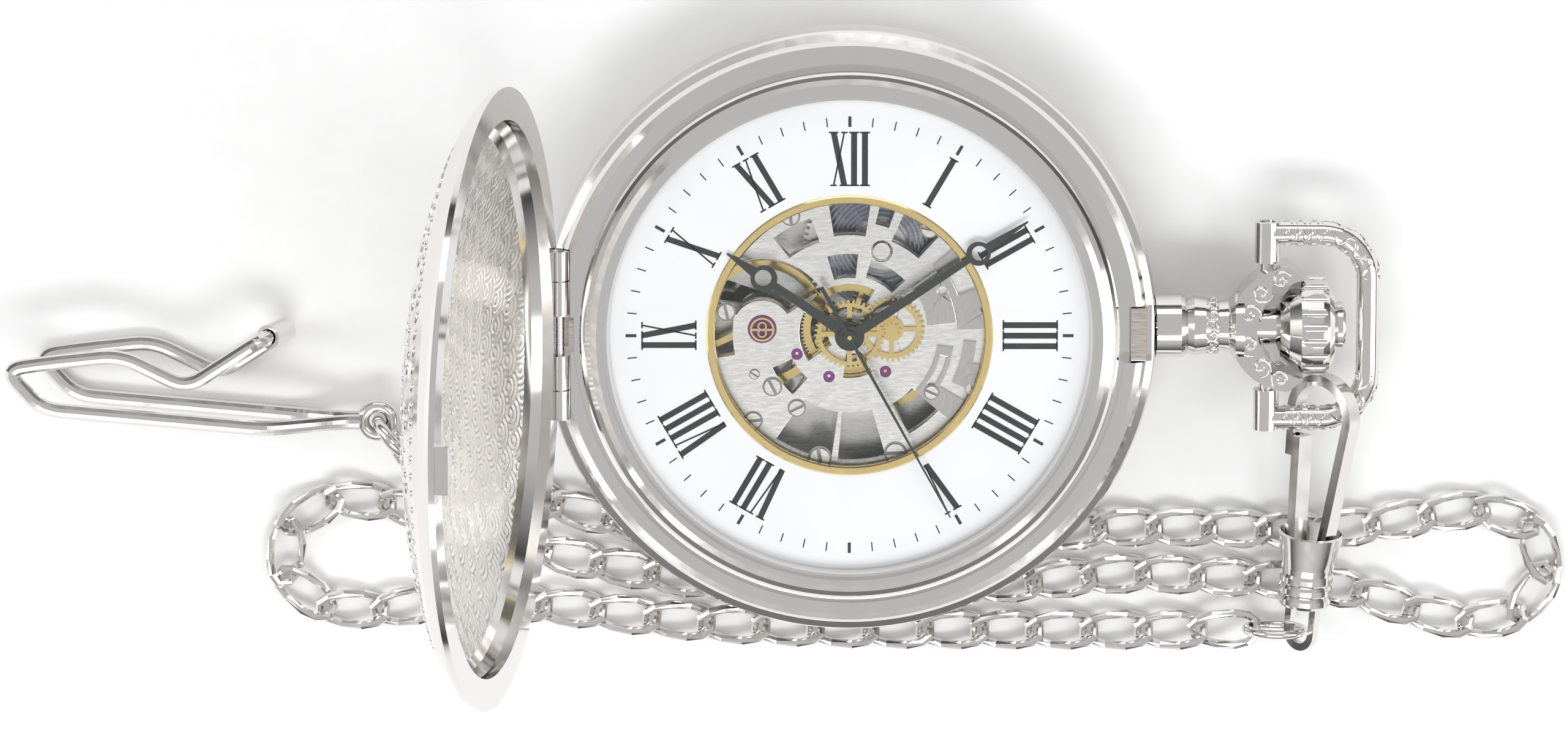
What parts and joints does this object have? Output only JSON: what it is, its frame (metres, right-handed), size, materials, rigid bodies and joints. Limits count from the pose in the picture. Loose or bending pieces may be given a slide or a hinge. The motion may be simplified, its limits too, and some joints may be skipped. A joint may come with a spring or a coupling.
{
  "type": "pocket watch",
  "caption": "Open-dial mechanical hunter pocket watch with hinged lid, skeleton centre, fluted crown, bow, curb chain, spring-gate clasp and wire belt clip",
  "frame": {"origin": "on the dial axis, at the centre of the small flat of the case back that the watch rests on", "axes": "+Z is the dial normal, +Y points to 12 o'clock, +X to the crown; the lid hinge is at -X"},
  "size_m": [0.1224, 0.0512, 0.0539],
  "materials": {
    "case_back": "polished nickel plate",
    "case_band": "polished nickel plate",
    "bezel": "polished nickel plate",
    "crystal": "clear mineral glass",
    "hinge_pin": "polished nickel plate",
    "lift_spring": "brushed",
    "pendant": "polished nickel plate",
    "dial": "matt white paint",
    "aperture_ring": "gilt",
    "movement_ring": "matt",
    "main_plate": "brushed",
    "plate_jewels": "polished synthetic ruby",
    "keyless_cover": "brushed",
    "setting_lever": "brushed",
    "lever_spring": "brushed",
    "barrel_bridge": "brushed",
    "train_bridge": "brushed",
    "balance_cock": "brushed",
    "shock_spring": "gilt",
    "bridge_screws": "brushed",
    "hairspring": "brushed",
    "chain_a": "polished nickel plate",
    "chain_b": "polished nickel plate",
    "chain_c": "polished nickel plate",
    "chain_d": "polished nickel plate",
    "clasp_ring": "polished nickel plate",
    "clip_ring": "polished nickel plate",
    "front_lid": "polished nickel plate",
    "latch": "brushed",
    "bow": "polished nickel plate",
    "crown": "polished nickel plate",
    "winding_pinion": "brushed",
    "clutch": "brushed",
    "crown_wheel": "brushed",
    "ratchet_wheel": "brushed",
    "barrel": "brushed",
    "mainspring": "brushed",
    "centre_wheel": "gilt",
    "cannon_pinion": "brushed",
    "minute_hand": "black",
    "minute_wheel": "gilt",
    "hour_wheel": "gilt",
    "hour_hand": "black",
    "third_wheel": "gilt",
    "fourth_wheel": "gilt",
    "seconds_hand": "black",
    "escape_wheel": "brushed",
    "pallet_fork": "brushed",
    "pallet_stones": "polished synthetic ruby",
    "balance_wheel": "gilt",
    "roller": "polished synthetic ruby",
    "clasp_hook": "polished nickel plate",
    "clasp_sleeve": "polished nickel plate",
    "clasp_gate": "polished nickel plate",
    "belt_clip": "polished nickel plate",
    "clip_eye": "polished nickel plate",
    "clip_roller": "polished nickel plate"
  },
  "bodies": {
    "case": {"case_back": "case_back", "case_band": "case_band", "bezel": "bezel", "crystal": "crystal", "hinge_pin": "hinge_pin", "lift_spring": "lift_spring", "pendant": "pendant", "dial": "dial", "aperture_ring": "aperture_ring", "movement_ring": "movement_ring", "main_plate": "main_plate", "plate_jewels": "plate_jewels", "keyless_cover": "keyless_cover", "setting_lever": "setting_lever", "lever_spring": "lever_spring", "barrel_bridge": "barrel_bridge", "train_bridge": "train_bridge", "balance_cock": "balance_cock", "shock_spring": "shock_spring", "bridge_screws": "bridge_screws", "hairspring": "hairspring", "chain_a": "chain_a", "chain_b": "chain_b", "chain_c": "chain_c", "chain_d": "chain_d", "clasp_ring": "clasp_ring", "clip_ring": "clip_ring"},
    "front_lid": {"front_lid": "front_lid"},
    "latch": {"latch": "latch"},
    "bow": {"bow": "bow"},
    "crown": {"crown": "crown"},
    "winding_pinion": {"winding_pinion": "winding_pinion"},
    "clutch": {"clutch": "clutch"},
    "crown_wheel": {"crown_wheel": "crown_wheel"},
    "ratchet": {"ratchet_wheel": "ratchet_wheel"},
    "barrel": {"barrel": "barrel", "mainspring": "mainspring"},
    "centre": {"centre_wheel": "centre_wheel", "cannon_pinion": "cannon_pinion", "minute_hand": "minute_hand"},
    "minute_wheel": {"minute_wheel": "minute_wheel"},
    "hour": {"hour_wheel": "hour_wheel", "hour_hand": "hour_hand"},
    "third": {"third_wheel": "third_wheel"},
    "fourth": {"fourth_wheel": "fourth_wheel", "seconds_hand": "seconds_hand"},
    "escape": {"escape_wheel": "escape_wheel"},
    "pallet": {"pallet_fork": "pallet_fork", "pallet_stones": "pallet_stones"},
    "balance": {"balance_wheel": "balance_wheel", "roller": "roller"},
    "clasp": {"clasp_hook": "clasp_hook", "clasp_sleeve": "clasp_sleeve"},
    "clasp_gate": {"clasp_gate": "clasp_gate"},
    "belt_clip": {"belt_clip": "belt_clip", "clip_eye": "clip_eye"},
    "clip_roller": {"clip_roller": "clip_roller"}
  },
  "joints": [
    {"name": "lid_hinge", "type": "hinge", "parent": "case", "child": "front_lid", "pos_m": [-0.0226, 0, 0.0083], "axis": [0, 1, 0], "range_deg": [0, 100]},
    {"name": "latch_slide", "type": "slide", "parent": "case", "child": "latch", "axis": [-1, 0, 0], "range_m": [0, 0.0007], "stiffness_N_per_m": 300},
    {"name": "bow_swing", "type": "hinge", "parent": "case", "child": "bow", "pos_m": [0.0326, 0, 0.005], "axis": [0, -1, 0], "range_deg": [0, 20]},
    {"name": "crown_turn", "type": "hinge", "parent": "case", "child": "winding_pinion", "pos_m": [0.0105, 0, 0.005], "axis": [1, 0, 0], "continuous": true},
    {"name": "crown_pull", "type": "slide", "parent": "winding_pinion", "child": "crown", "axis": [1, 0, 0], "range_m": [0, 0.0007]},
    {"name": "clutch_slide", "type": "slide", "parent": "winding_pinion", "child": "clutch", "axis": [-1, 0, 0], "range_m": [0, 0.0005]},
    {"name": "crown_wheel_turn", "type": "hinge", "parent": "case", "child": "crown_wheel", "pos_m": [0.0078, 0, 0.00315], "axis": [0, 0, 1], "continuous": true},
    {"name": "ratchet_turn", "type": "hinge", "parent": "case", "child": "ratchet", "pos_m": [0.0025, 0.0065, 0.00315], "axis": [0, 0, 1], "continuous": true},
    {"name": "seconds", "type": "hinge", "parent": "case", "child": "fourth", "pos_m": [0, 0, 0.00385], "axis": [0, 0, -1], "continuous": true},
    {"name": "third_turn", "type": "hinge", "parent": "case", "child": "third", "pos_m": [0.0028, -0.0031, 0.0043], "axis": [0, 0, -1], "continuous": true},
    {"name": "minutes", "type": "hinge", "parent": "case", "child": "centre", "pos_m": [0, 0, 0.0062], "axis": [0, 0, -1], "continuous": true},
    {"name": "minute_wheel_turn", "type": "hinge", "parent": "case", "child": "minute_wheel", "pos_m": [0.00328, 0.00033, 0.00785], "axis": [0, 0, -1], "continuous": true},
    {"name": "hours", "type": "hinge", "parent": "case", "child": "hour", "pos_m": [0, 0, 0.0081], "axis": [0, 0, -1], "continuous": true},
    {"name": "barrel_turn", "type": "hinge", "parent": "case", "child": "barrel", "pos_m": [0.0025, 0.0065, 0.0052], "axis": [0, 0, -1], "continuous": true},
    {"name": "escape_turn", "type": "hinge", "parent": "case", "child": "escape", "pos_m": [-0.0016, -0.0035, 0.0047], "axis": [0, 0, -1], "continuous": true},
    {"name": "balance_swing", "type": "hinge", "parent": "case", "child": "balance", "pos_m": [-0.0068, 0.0003, 0.0053], "axis": [0, 0, 1], "range_deg": [-20, 20], "stiffness_Nm_per_rad": 0.0000005},
    {"name": "pallet_swing", "type": "hinge", "parent": "case", "child": "pallet", "pos_m": [-0.0041, -0.0017, 0.0047], "axis": [0, 0, 1], "range_deg": [-5.8, 5.8]},
    {"name": "clasp_tilt", "type": "hinge", "parent": "case", "child": "clasp", "pos_m": [0.0356, -0.025, 0.0037], "axis": [0.1676, -0.9832, -0.0726], "range_deg": [0, 20]},
    {"name": "gate_swing", "type": "hinge", "parent": "clasp", "child": "clasp_gate", "pos_m": [0.0352, -0.01929, 0.00326], "axis": [0.7093, -0.0051, -0.7049], "range_deg": [0, 12], "stiffness_Nm_per_rad": 0.02},
    {"name": "clip_yaw", "type": "hinge", "parent": "case", "child": "belt_clip", "pos_m": [-0.037, -0.0082, 0.0026], "axis": [0, 0, -1], "range_deg": [0, 60]},
    {"name": "roller_spin", "type": "hinge", "parent": "belt_clip", "child": "clip_roller", "pos_m": [-0.04485, -0.0011, 0.00312], "axis": [0.4179, 0, -0.9085], "continuous": true}
  ],
  "couplings": [
    {"joint": "third_turn", "follows": "seconds", "ratio": -0.13333},
    {"joint": "minutes", "follows": "seconds", "ratio": 0.016667},
    {"joint": "minute_wheel_turn", "follows": "seconds", "ratio": -0.0055556},
    {"joint": "hours", "follows": "seconds", "ratio": 0.0013889},
    {"joint": "barrel_turn", "follows": "seconds", "ratio": -0.0027778},
    {"joint": "escape_turn", "follows": "seconds", "ratio": -12},
    {"joint": "pallet_swing", "follows": "balance_swing", "ratio": -0.287},
    {"joint": "crown_wheel_turn", "follows": "crown_turn", "ratio": 0.5},
    {"joint": "ratchet_turn", "follows": "crown_turn", "ratio": -0.30769},
    {"joint": "clutch_slide", "follows": "crown_pull", "ratio": 0.4},
    {"joint": "clasp_tilt", "follows": "bow_swing", "ratio": 1}
  ]
}
